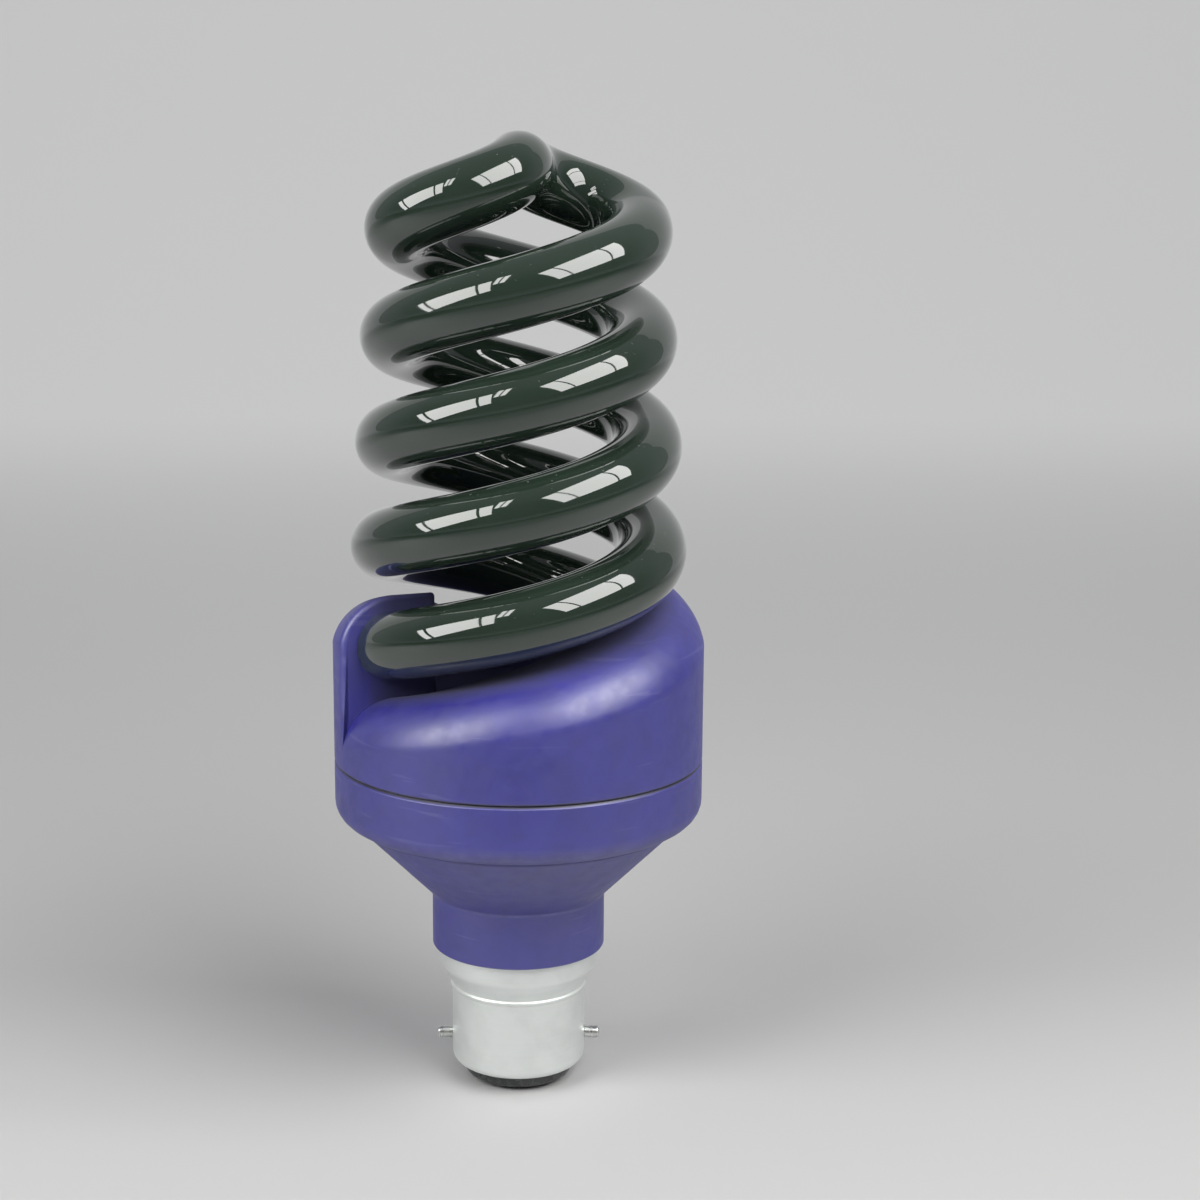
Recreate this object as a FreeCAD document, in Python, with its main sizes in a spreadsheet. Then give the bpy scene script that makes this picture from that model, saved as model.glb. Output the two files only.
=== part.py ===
import FreeCAD, Part
import Sketcher
import math
import os
import re

Vector = FreeCAD.Vector
upward = Vector(0, 0, 1)
closeness = 0.01
doc = FreeCAD.newDocument("SpiralLamp")

# Driving dimensions, in millimetres and degrees
driving = {
    # Metal cap, from its contact plates upward
    "cap_radius": 11.0,
    "cap_wall": 0.4,
    "rim_inset": 1.85,
    "rim_height": 2.5,
    "rim_round": 1.6,
    "cap_length": 20.5,
    "flare_length": 6.6,
    "flare_spread": 2.1,
    "bead_height": 0.9,
    "bead_flat": 0.36,
    "bead_depth": 0.25,
    "bayonet_height": 6.8,
    "bayonet_radius": 1.0,
    "bayonet_reach": 2.5,
    "bayonet_shank": 0.75,
    "bayonet_gap": 0.1,
    "bayonet_rivet": 0.4,
    "bayonet_chamfer": 0.25,
    # Insulator and contact plates in the end of the cap
    "insulator_face": 0.3,
    "insulator_depth": 2.5,
    "insulator_taper": 0.45,
    "insulator_round": 1.2,
    "contact_radius": 2.3,
    "contact_depth": 1.1,
    "contact_margin": 2.2,
    "wire_radius": 0.6,
    # Lower cover, from the spigot in the cap up to the seam
    "housing_radius": 30.0,
    "housing_wall": 2.0,
    "neck_step": 1.1,
    "neck_length": 9.2,
    "spigot_length": 10.5,
    "spigot_wall": 1.6,
    "step_width": 3.6,
    "step_depth": 0.6,
    "bowl_height": 10.1,
    "bowl_round": 3.4,
    "lip_height": 3.5,
    "lip_wall": 1.3,
    "fit_gap": 0.15,
    "seam_chamfer": 0.5,
    # Spiral tube
    "tube_radius": 5.5,
    "coil_top_radius": 18.6,
    "widening_angle": 630.0,
    "half_pitch": 16.7,
    "mouth_rise": 20.04,
    "bridge_rise": 9.7,
    "bend_gap": 0.55,
    "mouth_angle": 698.0,
    "insertion_angle": 35.0,
    "hood_gap": 0.6,
    # Swirl on the upper cover, below the lowest strands
    "ramp_gap": 3.0,
    "shoulder_round": 9.0,
    "shoulder_overhang": 0.2,
    "shoulder_edge_angle": 8.0,
    "pit_gap": 0.2,
    "pit_drop": 0.4,
    "mouth_chamfer": 0.8,
    # Circuit board and what it carries
    "board_thickness": 1.6,
    "board_drop": 4.1,
    "board_gap": 0.25,
    "ledge_width": 1.7,
    "part_gap": 2.4,
    "wire_gap": 0.3,
    "storage_radius": 5.5,
    "storage_length": 16.0,
    "choke_offset": 9.5,
    "choke_width": 15.0,
    "choke_depth": 5.0,
    "choke_height": 12.0,
    "choke_leg": 2.2,
    "choke_window": 3.3,
    "choke_coil_depth": 11.0,
    "ring_radius": 4.5,
    "ring_bore": 2.3,
    "ring_height": 3.5,
    "film_width": 10.0,
    "film_thickness": 5.0,
    "film_height": 7.0,
    "drum_radius": 3.2,
    "drum_height": 8.0,
    "transistor_radius": 2.4,
    "transistor_flat": 1.2,
    "transistor_height": 5.0,
    "diode_radius": 1.3,
    "diode_length": 4.8,
    "diode_pitch": 4.0,
    "fuse_radius": 1.6,
    "fuse_length": 7.0,
    "post_radius": 0.5,
    "post_height": 6.0,
    "lead_radius": 0.35,
    "lead_spread": 1.8,
    "lead_bend": 2.5,
}
sizes = doc.addObject("Spreadsheet::Sheet", "Sizes")
for row, (alias, number) in enumerate(driving.items(), 1):
    sizes.set("A%d" % row, alias)
    sizes.set("B%d" % row, str(number))
    sizes.setAlias("B%d" % row, alias)

# Heights and radii that follow from the driving dimensions
derived = {
    "rim_radius": "cap_radius - rim_inset",
    "cap_top": "rim_height + cap_length",
    "flare_start": "cap_top - flare_length",
    "flare_radius": "cap_radius + flare_spread",
    "insulator_tip_radius": "rim_radius - insulator_taper",
    "insulator_top": "rim_height + insulator_depth",
    "contact_offset": "insulator_tip_radius - contact_radius - contact_margin",
    "spigot_radius": "cap_radius - cap_wall - fit_gap",
    "neck_radius": "flare_radius + neck_step",
    "neck_top": "cap_top + neck_length",
    "cone_radius": "housing_radius - step_width",
    "cone_top": "neck_top + cone_radius - neck_radius",
    "bowl_floor": "cone_top + step_depth",
    "seam": "bowl_floor + bowl_height",
    "inner_radius": "housing_radius - housing_wall",
    "lip_radius": "inner_radius - fit_gap",
    "board_seat": "lip_radius - lip_wall",
    "board_radius": "board_seat - board_gap",
    "board_under": "seam - board_drop",
    "board_top": "board_under + board_thickness",
    "ledge_radius": "board_seat - ledge_width",
    "cone_wall": "housing_wall * sqrt(2)",
    "storage_offset": "storage_radius + wire_radius + wire_gap",
    "coil_radius": "inner_radius - tube_radius - hood_gap",
    "pit_radius": "coil_radius - tube_radius - housing_wall - pit_gap",
    "coil_start": "seam + mouth_rise + half_pitch * mouth_angle / 180",
    "apex": "coil_start + bridge_rise",
    "bridge_half": "coil_top_radius / 2",
    "crown_bend": "1 / sqrt(1 / (tube_radius + bend_gap) ^ 2 - 1 / bridge_half ^ 2)",
    "crown_ease": "crown_bend * bridge_rise / (pi * bridge_half) ^ 2",
    "crown_share": "crown_ease / sqrt(1 - 2 * crown_ease)",
}
for row, (alias, formula) in enumerate(derived.items(), len(driving) + 1):
    sizes.set("A%d" % row, alias)
    sizes.set("B%d" % row, "=" + formula)
    sizes.setAlias("B%d" % row, alias)
doc.recompute()


def size(alias):
    return float(sizes.get(alias))


def bound(text):
    # Points each alias in an expression at the sheet
    return re.sub(r"\b([a-z]\w*)\b", r"Sizes.\1", text)


def bind(thing, **formulas):
    for name, text in formulas.items():
        thing.setExpression(name, bound(text))


def place(thing, x, y, z):
    for axis, text in zip("xyz", (x, y, z)):
        thing.setExpression("Placement.Base." + axis, bound(text))


def add(kind, label, at=None, **formulas):
    thing = doc.addObject(kind, label)
    thing.Label = label
    bind(thing, **formulas)
    if at:
        place(thing, *at)
    return thing


def turned(thing, axis, angle):
    thing.Placement.Rotation = FreeCAD.Rotation(axis, angle)
    return thing


def origin_plane(body, role):
    return next(item for item in body.Origin.OriginFeatures if item.Role == role)


def pin_corner(sketch, kind, corner, text):
    # Holds one coordinate of a corner to its expression, or to the axis where it is zero
    place_now = float(sketch.evalExpression(bound(text)))
    if place_now == 0:
        axis = -2 if kind == "DistanceX" else -1
        sketch.addConstraint(Sketcher.Constraint("PointOnObject", corner, 1, axis))
        return
    index = sketch.addConstraint(Sketcher.Constraint(kind, -1, 1, corner, 1, place_now))
    sketch.setExpression("Constraints[%d]" % index, bound(text))


def outline(body, name, corners):
    # A closed outline of straight runs, given as radius and height
    sketch = body.newObject("Sketcher::SketchObject", name)
    sketch.AttachmentSupport = [(origin_plane(body, "XZ_Plane"), "")]
    sketch.MapMode = "FlatFace"
    points = []
    for pair in corners:
        across, up = (float(sketch.evalExpression(bound(text))) for text in pair)
        points.append(Vector(across, up, 0))
    for here, there in zip(points, points[1:] + points[:1]):
        sketch.addGeometry(Part.LineSegment(here, there))
    for corner in range(len(points)):
        following = (corner + 1) % len(points)
        sketch.addConstraint(Sketcher.Constraint("Coincident", corner, 2, following, 1))
    for corner, (across, up) in enumerate(corners):
        pin_corner(sketch, "DistanceX", corner, across)
        pin_corner(sketch, "DistanceY", corner, up)
    return sketch


def revolved(label, corners):
    body = doc.addObject("PartDesign::Body", label)
    body.Label = label
    turning = body.newObject("PartDesign::Revolution", label + "_turning")
    turning.Profile = outline(body, label + "_outline", corners)
    turning.ReferenceAxis = (turning.Profile[0], ["V_Axis"])
    turning.Angle = 360
    doc.recompute()
    return body


def rings_at(shape, places):
    # Names of the circular edges that lie at the given radii and heights
    names = []
    for index, edge in enumerate(shape.Edges, 1):
        if not isinstance(edge.Curve, Part.Circle):
            continue
        for radius, height in places:
            near_height = abs(edge.Curve.Center.z - height) < closeness
            if near_height and abs(edge.Curve.Radius - radius) < closeness:
                names.append("Edge%d" % index)
    return names


def rounded(body, label, radius, *places):
    before = body.Tip
    spots = [[float(body.evalExpression(bound(text))) for text in pair] for pair in places]
    feature = body.newObject("PartDesign::Fillet", label)
    feature.Base = (before, rings_at(before.Shape, spots))
    bind(feature, Radius=radius)
    body.Tip = feature
    doc.recompute()


def hold_centre(sketch, circle, across, up):
    for kind, axis, text in (("DistanceX", -2, across), ("DistanceY", -1, up)):
        place_now = float(sketch.evalExpression(bound(text)))
        if place_now == 0:
            sketch.addConstraint(Sketcher.Constraint("PointOnObject", circle, 3, axis))
            continue
        index = sketch.addConstraint(Sketcher.Constraint(kind, -1, 1, circle, 3, place_now))
        sketch.setExpression("Constraints[%d]" % index, bound(text))


def circles(body, label, role, radius, across, up, opposite=False):
    # One circle on an origin plane, or two on opposite sides of the axis
    sketch = body.newObject("Sketcher::SketchObject", label + "_circles")
    sketch.AttachmentSupport = [(origin_plane(body, role), "")]
    sketch.MapMode = "FlatFace"
    centre = Vector(*(float(sketch.evalExpression(bound(text))) for text in (across, up)), 0)
    around = float(sketch.evalExpression(bound(radius)))
    sketch.addGeometry(Part.Circle(centre, upward, around))
    index = sketch.addConstraint(Sketcher.Constraint("Radius", 0, around))
    sketch.setExpression("Constraints[%d]" % index, bound(radius))
    hold_centre(sketch, 0, across, up)
    if opposite:
        sketch.addGeometry(Part.Circle(-centre, upward, around))
        sketch.addConstraint(Sketcher.Constraint("Equal", 0, 1))
        sketch.addConstraint(Sketcher.Constraint("Symmetric", 0, 3, 1, 3, -1, 1))
    return sketch


def pocketed(body, label, sketch, depth=None):
    # A pocket upward from the sketch to a depth, or right through both ways
    pocket = body.newObject("PartDesign::Pocket", label)
    pocket.Profile = sketch
    if depth:
        pocket.Reversed = True
        bind(pocket, Length=depth)
    else:
        pocket.Type = "ThroughAll"
        pocket.Midplane = True
    body.Tip = pocket
    doc.recompute()


# Cap shell: barrel with an inturned rim, a bead and a flared skirt
cap_shell = revolved("cap_shell", [
    ("rim_radius", "rim_height"),
    ("cap_radius", "rim_height"),
    ("cap_radius", "flare_start - bead_height"),
    ("cap_radius + bead_depth", "flare_start - (bead_height + bead_flat) / 2"),
    ("cap_radius + bead_depth", "flare_start - (bead_height - bead_flat) / 2"),
    ("cap_radius", "flare_start"),
    ("flare_radius - cap_wall / 2", "flare_start + flare_length / 2"),
    ("flare_radius", "cap_top"),
    ("flare_radius - cap_wall", "cap_top"),
    ("flare_radius - cap_wall / 2 - cap_wall", "flare_start + flare_length / 2"),
    ("cap_radius - cap_wall", "flare_start"),
    ("cap_radius - cap_wall", "rim_height + cap_wall"),
    ("rim_radius", "rim_height + cap_wall"),
])
rounded(cap_shell, "rim_corner", "rim_round", ("cap_radius", "rim_height"))
rounded(cap_shell, "rim_hollow", "rim_round - cap_wall", ("cap_radius - cap_wall", "rim_height + cap_wall"))
bayonet_circle = circles(cap_shell, "bayonet_hole", "YZ_Plane", "bayonet_shank", "0", "bayonet_height")
pocketed(cap_shell, "bayonet_hole", bayonet_circle)

# Bayonet pins: a chamfered head outside the barrel on a shank riveted through it
for side, sign, angle in (("right", "", 90), ("left", "-", -90)):
    head = add("Part::Cylinder", "bayonet_head_" + side,
               Radius="bayonet_radius", Height="bayonet_reach - bayonet_gap")
    turned(head, Vector(0, 1, 0), angle)
    place(head, sign + "(cap_radius + bayonet_gap)", "0", "bayonet_height")
    shank = add("Part::Cylinder", "bayonet_shank_" + side, Radius="bayonet_shank",
                Height="bayonet_gap + cap_wall + bayonet_rivet")
    turned(shank, Vector(0, 1, 0), angle)
    place(shank, sign + "(cap_radius - cap_wall - bayonet_rivet)", "0", "bayonet_height")
    doc.recompute()
    chamfered = add("Part::Chamfer", "bayonet_chamfer_" + side)
    chamfered.Base = head
    tip = max(range(len(head.Shape.Edges)), key=lambda index: abs(head.Shape.Edges[index].CenterOfMass.x))
    chamfered.Edges = [(tip + 1, size("bayonet_chamfer"), size("bayonet_chamfer"))]
    pin = add("Part::Fuse", "bayonet_pin_" + side)
    pin.Base = chamfered
    pin.Tool = shank

# Insulator: cast in the end of the cap, with two pockets and two wire holes
cap_insulator = revolved("cap_insulator", [
    ("0", "insulator_face"),
    ("insulator_tip_radius", "insulator_face"),
    ("rim_radius", "rim_height"),
    ("rim_radius", "rim_height + cap_wall"),
    ("cap_radius - cap_wall", "rim_height + cap_wall"),
    ("cap_radius - cap_wall", "insulator_top"),
    ("0", "insulator_top"),
])
rounded(cap_insulator, "insulator_edge", "insulator_round", ("insulator_tip_radius", "insulator_face"))
rounded(cap_insulator, "insulator_shoulder", "rim_round - cap_wall",
        ("cap_radius - cap_wall", "rim_height + cap_wall"))
contact_circles = circles(cap_insulator, "contact_pocket", "XY_Plane", "contact_radius",
                          "0", "contact_offset", True)
pocketed(cap_insulator, "contact_pocket", contact_circles, "contact_depth")
wire_circles = circles(cap_insulator, "wire_hole", "XY_Plane", "wire_radius", "0", "contact_offset", True)
pocketed(cap_insulator, "wire_hole", wire_circles)

# Contact plates and the wires that rise from them to the board
for side, sign in (("front", "-"), ("rear", "")):
    across = sign + "contact_offset"
    add("Part::Cylinder", "contact_plate_" + side, ("0", across, "0"),
        Radius="contact_radius", Height="contact_depth")
    add("Part::Cylinder", "supply_wire_" + side, ("0", across, "contact_depth"),
        Radius="wire_radius", Height="board_under - contact_depth")

# Lower cover: spigot, neck, cone, bowl and the lip that enters the upper cover
housing_base = revolved("housing_base", [
    ("spigot_radius - spigot_wall", "cap_top - spigot_length"),
    ("spigot_radius", "cap_top - spigot_length"),
    ("spigot_radius", "cap_top"),
    ("neck_radius", "cap_top"),
    ("neck_radius", "neck_top"),
    ("cone_radius", "cone_top"),
    ("cone_radius", "bowl_floor"),
    ("housing_radius", "bowl_floor"),
    ("housing_radius", "seam - seam_chamfer"),
    ("housing_radius - seam_chamfer", "seam"),
    ("lip_radius", "seam"),
    ("lip_radius", "seam + lip_height"),
    ("board_seat", "seam + lip_height"),
    ("board_seat", "board_under"),
    ("ledge_radius", "board_under"),
    ("ledge_radius", "cone_top + ledge_radius + cone_wall - cone_radius"),
    ("neck_radius - housing_wall", "neck_top + cone_wall - housing_wall"),
    ("neck_radius - housing_wall", "cap_top + housing_wall"),
    ("spigot_radius - spigot_wall", "cap_top + housing_wall"),
])
rounded(housing_base, "bowl_corner", "bowl_round", ("housing_radius", "bowl_floor"))


# Spiral tube: two equal arms that start from a bridge over the axis
def arm_point(turn):
    # Turn is in degrees: minus 180 at the top of the bridge, 0 where the coil starts
    if turn < 0:
        share = 1 + turn / 180
        half = size("bridge_half")
        crown = size("crown_share")
        fall = (math.hypot(share, crown) - crown) / (math.hypot(1, crown) - crown) * size("bridge_rise")
        angle = math.pi * share
        return Vector(half * (1 - math.cos(angle)), half * math.sin(angle), size("apex") - fall)
    widened = min(1.0, turn / size("widening_angle"))
    radius = size("coil_top_radius") + widened * (size("coil_radius") - size("coil_top_radius"))
    angle = math.radians(-turn)
    height = size("coil_start") - size("half_pitch") * turn / 180
    return Vector(radius * math.cos(angle), radius * math.sin(angle), height)


def arm_way(turn):
    before = arm_point(max(turn - closeness, -180))
    return (arm_point(turn + closeness) - before).normalize()


def bulge(start, way, end):
    # Middle of the arc that leaves start along way and reaches end
    chord = end - start
    along = Vector(chord).normalize()
    side = (way - along * way.dot(along)).normalize()
    half_turn = math.acos(way.dot(along)) / 2
    return start + chord / 2 + side * (chord.Length / 2 * math.tan(half_turn))


def two_arcs(start, start_way, end, end_way):
    # A pair of tangent arcs from one place and direction to another
    chord = end - start
    along = chord.dot(start_way + end_way)
    bend = 2 * (1 - start_way.dot(end_way))
    reach = (math.sqrt(along ** 2 + bend * chord.dot(chord)) - along) / bend
    joint = (start + end + (start_way - end_way) * reach) / 2
    first = Part.Arc(start, bulge(start, start_way, joint), joint)
    second = Part.Arc(joint, bulge(end, -end_way, joint), end)
    return [first.toShape(), second.toShape()]


def pipe(path, start, way, radius):
    # A solid of round section along straight runs and tangent arcs, closed by two flat ends
    ring = Part.makeCircle(radius, start, way)
    faces = [Part.Face(Part.Wire(ring))]
    for edge in path:
        moved = ring.copy()
        if isinstance(edge.Curve, Part.Circle):
            turning = math.degrees(edge.LastParameter - edge.FirstParameter)
            faces.append(ring.revolve(edge.Curve.Center, edge.Curve.Axis, turning))
            moved.rotate(edge.Curve.Center, edge.Curve.Axis, turning)
        else:
            run = edge.valueAt(edge.LastParameter) - edge.valueAt(edge.FirstParameter)
            faces.append(ring.extrude(run))
            moved.translate(run)
        ring = moved
    faces.append(Part.Face(Part.Wire(ring)))
    shell = Part.makeShell(faces)
    shell.sewShape()
    return Part.makeSolid(shell)


def opposite(vector):
    return Vector(-vector.x, -vector.y, vector.z)


tube_end = size("mouth_angle") + size("insertion_angle")
bridge_steps = 8
coil_steps = 16
turns = [-180 + 180 * step / bridge_steps for step in range(bridge_steps)]
turns += [tube_end * step / coil_steps for step in range(coil_steps + 1)]
stations = [(opposite(arm_point(turn)), -opposite(arm_way(turn))) for turn in reversed(turns)]
stations += [(arm_point(turn), arm_way(turn)) for turn in turns[1:]]
tube_path = []
for (start, start_way), (end, end_way) in zip(stations, stations[1:]):
    tube_path += two_arcs(start, start_way, end, end_way)
discharge_tube = doc.addObject("Part::Feature", "discharge_tube")
discharge_tube.Shape = pipe(tube_path, *stations[0], size("tube_radius"))
tube_length = sum(edge.Length for edge in tube_path)
expected = math.pi * size("tube_radius") ** 2 * tube_length
print("tube length %.1f mm, volume ratio %.4f" % (tube_length, discharge_tube.Shape.Volume / expected))
print("tightest bend %.1f mm" % min(edge.Curve.Radius for edge in tube_path))


# Upper cover: a swirl of two ramps under the lowest strands, each ending at the mouth of a hood
cutter_overlap_angle = 2


def ramp_height(turn):
    return arm_point(turn).z - size("tube_radius") - size("ramp_gap")


def ramp_cutter(radius, round_radius, sink, advance, first_angle):
    # All that lies above one ramp and outside its rounded shoulder, from a mouth half a turn upward
    turn = size("mouth_angle") + advance
    shoulder = size("housing_radius") + size("shoulder_overhang") - size("shoulder_round")
    low = ramp_height(turn) - sink
    centre = Vector(shoulder, 0, low - round_radius)
    edge_angle = math.radians(size("shoulder_edge_angle"))
    half_angle = (math.pi / 2 + edge_angle) / 2
    crown = centre + Vector(0, 0, round_radius)
    middle = centre + Vector(math.cos(half_angle), 0, math.sin(half_angle)) * round_radius
    brink = centre + Vector(math.cos(edge_angle), 0, math.sin(edge_angle)) * round_radius
    inside = size("pit_radius") / 2
    outside = radius + size("tube_radius")
    above = low + 2 * size("half_pitch")
    corners = [brink, Vector(outside, 0, brink.z), Vector(outside, 0, above), Vector(inside, 0, above),
               Vector(inside, 0, low), crown]
    edges = [Part.LineSegment(here, there).toShape() for here, there in zip(corners, corners[1:])]
    edges.append(Part.Arc(crown, middle, brink).toShape())
    swept = 180 + cutter_overlap_angle
    helix = Part.makeHelix(2 * size("half_pitch"), size("half_pitch") * swept / 180, shoulder)
    helix.translate(Vector(0, 0, low))
    cutter = Part.Wire(helix.Edges).makePipeShell([Part.Wire(edges)], True, True)
    cutter.rotate(Vector(0, 0, 0), upward, first_angle - turn)
    return cutter


def swirl(radius, foot, round_radius, sink, advance):
    # A round block with its top cut to two ramps around a central pit
    top = ramp_height(size("mouth_angle") - 270)
    block = Part.makeCylinder(radius, top - foot, Vector(0, 0, foot))
    for first_angle in (0, 180):
        block = block.cut(ramp_cutter(radius, round_radius, sink, advance, first_angle))
    floor = ramp_height(size("mouth_angle")) - size("pit_drop") - sink
    return block.cut(Part.makeCylinder(size("pit_radius") + sink, top, Vector(0, 0, floor)))


def mouth_edges(block):
    # The upper and inner edges of the two hoods, which lie in the planes of their mouths
    lowest = ramp_height(size("mouth_angle")) + size("ramp_gap")
    across = opposite(Vector(arm_point(size("mouth_angle")))).cross(upward).normalize()
    found = []
    for edge in block.Edges:
        middle = edge.valueAt((edge.FirstParameter + edge.LastParameter) / 2)
        spots = [edge.valueAt(edge.FirstParameter), middle, edge.valueAt(edge.LastParameter)]
        in_plane = all(abs(spot.dot(across)) < closeness for spot in spots)
        if in_plane and middle.z > lowest:
            found.append(edge)
    return found


wall = size("housing_wall")
wall_advance = math.degrees(wall / size("coil_radius"))
outer = swirl(size("housing_radius"), size("seam"), size("shoulder_round"), 0, 0)
inner = swirl(size("inner_radius"), size("seam") - wall, size("shoulder_round") - wall, wall, wall_advance)
outer = outer.makeChamfer(size("mouth_chamfer"), mouth_edges(outer))
housing_top = doc.addObject("Part::Feature", "housing_top")
housing_top.Shape = outer.cut(inner).cut(discharge_tube.Shape)

# Circuit board: a disc on the ledge of the lower cover
add("Part::Cylinder", "circuit_board", ("0", "0", "board_under"),
    Radius="board_radius", Height="board_thickness")

# Storage capacitor: the large can that hangs down into the neck
add("Part::Cylinder", "storage_capacitor", ("-storage_offset", "0", "board_under - storage_length"),
    Radius="storage_radius", Height="storage_length")

# Choke: a ferrite core with two windows and a coil around its middle leg
core_block = add("Part::Box", "core_block",
                 ("choke_offset - choke_depth / 2", "-choke_width / 2", "board_under - choke_height"),
                 Length="choke_depth", Width="choke_width", Height="choke_height")
window_edges = {"front": "choke_leg - choke_width / 2", "rear": "choke_width / 2 - choke_leg - choke_window"}
windows = []
for side, edge in window_edges.items():
    window = add("Part::Box", "core_window_" + side,
                 ("choke_offset - choke_depth", edge, "board_under - choke_height + choke_leg"),
                 Length="choke_depth * 2", Width="choke_window", Height="choke_height - choke_leg * 2")
    windows.append(window)
core_windows = add("Part::MultiFuse", "core_windows")
core_windows.Shapes = windows
choke_core = add("Part::Cut", "choke_core")
choke_core.Base = core_block
choke_core.Tool = core_windows
coil_block = add("Part::Box", "coil_block",
                 ("choke_offset - choke_coil_depth / 2", "choke_leg + board_gap - choke_width / 2",
                  "board_under - choke_height + choke_leg"),
                 Length="choke_coil_depth", Width="choke_width - 2 * (choke_leg + board_gap)",
                 Height="choke_height - choke_leg * 2")
choke_coil = add("Part::Cut", "choke_coil")
choke_coil.Base = coil_block
choke_coil.Tool = choke_core

# Drive transformer: a small ring core
ring_place = ("choke_offset - ring_radius", "-(ledge_radius - part_gap - ring_radius)",
              "board_under - ring_height")
ring_disc = add("Part::Cylinder", "ring_disc", ring_place, Radius="ring_radius", Height="ring_height")
ring_hole = add("Part::Cylinder", "ring_hole", ring_place, Radius="ring_bore", Height="ring_height")
drive_transformer = add("Part::Cut", "drive_transformer")
drive_transformer.Base = ring_disc
drive_transformer.Tool = ring_hole

# Film capacitors: two flat blocks beside the storage capacitor
film_corners = {"resonance_capacitor": ("0", "choke_width / 2 + part_gap"),
                "filter_capacitor": ("-storage_offset - film_width / 2",
                                     "-(storage_radius + part_gap + film_thickness)")}
for label, (across, along) in film_corners.items():
    add("Part::Box", label, (across, along, "board_under - film_height"), Length="film_width",
        Width="film_thickness", Height="film_height")

# Filter choke: a drum beside the storage capacitor
add("Part::Cylinder", "filter_choke",
    ("-storage_offset - drum_radius", "storage_radius + part_gap + drum_radius", "board_under - drum_height"),
    Radius="drum_radius", Height="drum_height")

# Transistors: two round bodies with a flat side
transistor_across = "-(storage_offset + storage_radius + part_gap + transistor_radius)"
for side, sign in (("front", "-"), ("rear", "")):
    along = sign + "(transistor_radius + part_gap / 2)"
    barrel = add("Part::Cylinder", "transistor_barrel_" + side,
                 (transistor_across, along, "board_under - transistor_height"),
                 Radius="transistor_radius", Height="transistor_height")
    flat = add("Part::Box", "transistor_flat_" + side,
               (transistor_across + " - transistor_radius - transistor_flat", along + " - transistor_radius",
                "board_under - transistor_height"),
               Length="transistor_flat * 2", Width="transistor_radius * 2", Height="transistor_height")
    body = add("Part::Cut", "transistor_" + side)
    body.Base = barrel
    body.Tool = flat

# Rectifier diodes and fuse resistor: lying on the upper side of the board
diode_count = 4
for index in range(diode_count):
    diode = add("Part::Cylinder", "rectifier_diode_%d" % (index + 1),
                Radius="diode_radius", Height="diode_length")
    turned(diode, Vector(1, 0, 0), 90)
    place(diode, "diode_pitch * %g" % (index - diode_count / 2), "-diode_length", "board_top + diode_radius")
fuse = add("Part::Cylinder", "fuse_resistor", Radius="fuse_radius", Height="fuse_length")
turned(fuse, Vector(0, 1, 0), 90)
place(fuse, "-fuse_length / 2", "fuse_length", "board_top + fuse_radius")


# Tube leads: two wires from each end of the tube down to posts on the board
def lead_path(start, way, post_top):
    straight = size("lead_bend") / 2
    bend_start = start + way * straight
    turning = math.acos(way.dot(-upward))
    tangent = size("lead_bend") * math.tan(turning / 2)
    bend_end = bend_start + (way - upward) * tangent
    foot = Vector(bend_end.x, bend_end.y, post_top)
    arc = Part.Arc(bend_start, bulge(bend_start, way, bend_end), bend_end)
    runs = [Part.LineSegment(start, bend_start), arc, Part.LineSegment(bend_end, foot)]
    return [run.toShape() for run in runs], foot


post_top = size("board_top") + size("post_height")
for arm, mirror in (("right", Vector), ("left", opposite)):
    end = mirror(arm_point(tube_end))
    way = mirror(arm_way(tube_end))
    outward = Vector(end.x, end.y, 0).normalize()
    for number, sign in ((1, 1), (2, -1)):
        start = end + outward * sign * size("lead_spread")
        runs, foot = lead_path(start, way, post_top)
        lead = doc.addObject("Part::Feature", "tube_lead_%s_%d" % (arm, number))
        lead.Shape = pipe(runs, start, way, size("lead_radius"))
        post = add("Part::Cylinder", "terminal_post_%s_%d" % (arm, number), Radius="post_radius",
                   Height="post_height")
        post.Placement.Base = Vector(foot.x, foot.y, size("board_top"))

# Every piece that is written out, in order from the cap to the tube
pieces = ["cap_shell", "bayonet_pin_right", "bayonet_pin_left", "cap_insulator", "contact_plate_front",
          "contact_plate_rear", "supply_wire_front", "supply_wire_rear", "housing_base", "housing_top",
          "discharge_tube", "circuit_board", "storage_capacitor", "choke_core", "choke_coil",
          "drive_transformer", "resonance_capacitor", "filter_capacitor", "filter_choke",
          "transistor_front", "transistor_rear", "fuse_resistor"]
pieces += ["rectifier_diode_%d" % (index + 1) for index in range(diode_count)]
for arm in ("right", "left"):
    for number in (1, 2):
        pieces += ["tube_lead_%s_%d" % (arm, number), "terminal_post_%s_%d" % (arm, number)]

# Check the document, then write each piece
doc.recompute()
failed = [item.Label for item in doc.Objects if {"Invalid", "Error"} & set(item.State)]
if failed:
    raise RuntimeError("failed objects: " + ", ".join(failed))
os.makedirs("parts", exist_ok=True)
for label in pieces:
    shape = doc.getObjectsByLabel(label)[0].Shape
    if shape.isNull() or not shape.isValid() or len(shape.Solids) != 1:
        raise RuntimeError("bad shape: " + label)
    shape.exportStep("parts/" + label + ".step")
    print("%-24s %10.1f mm3" % (label, shape.Volume))
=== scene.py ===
import bmesh
import bpy
import math
import numpy as np
from mathutils import Matrix, Vector


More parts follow.
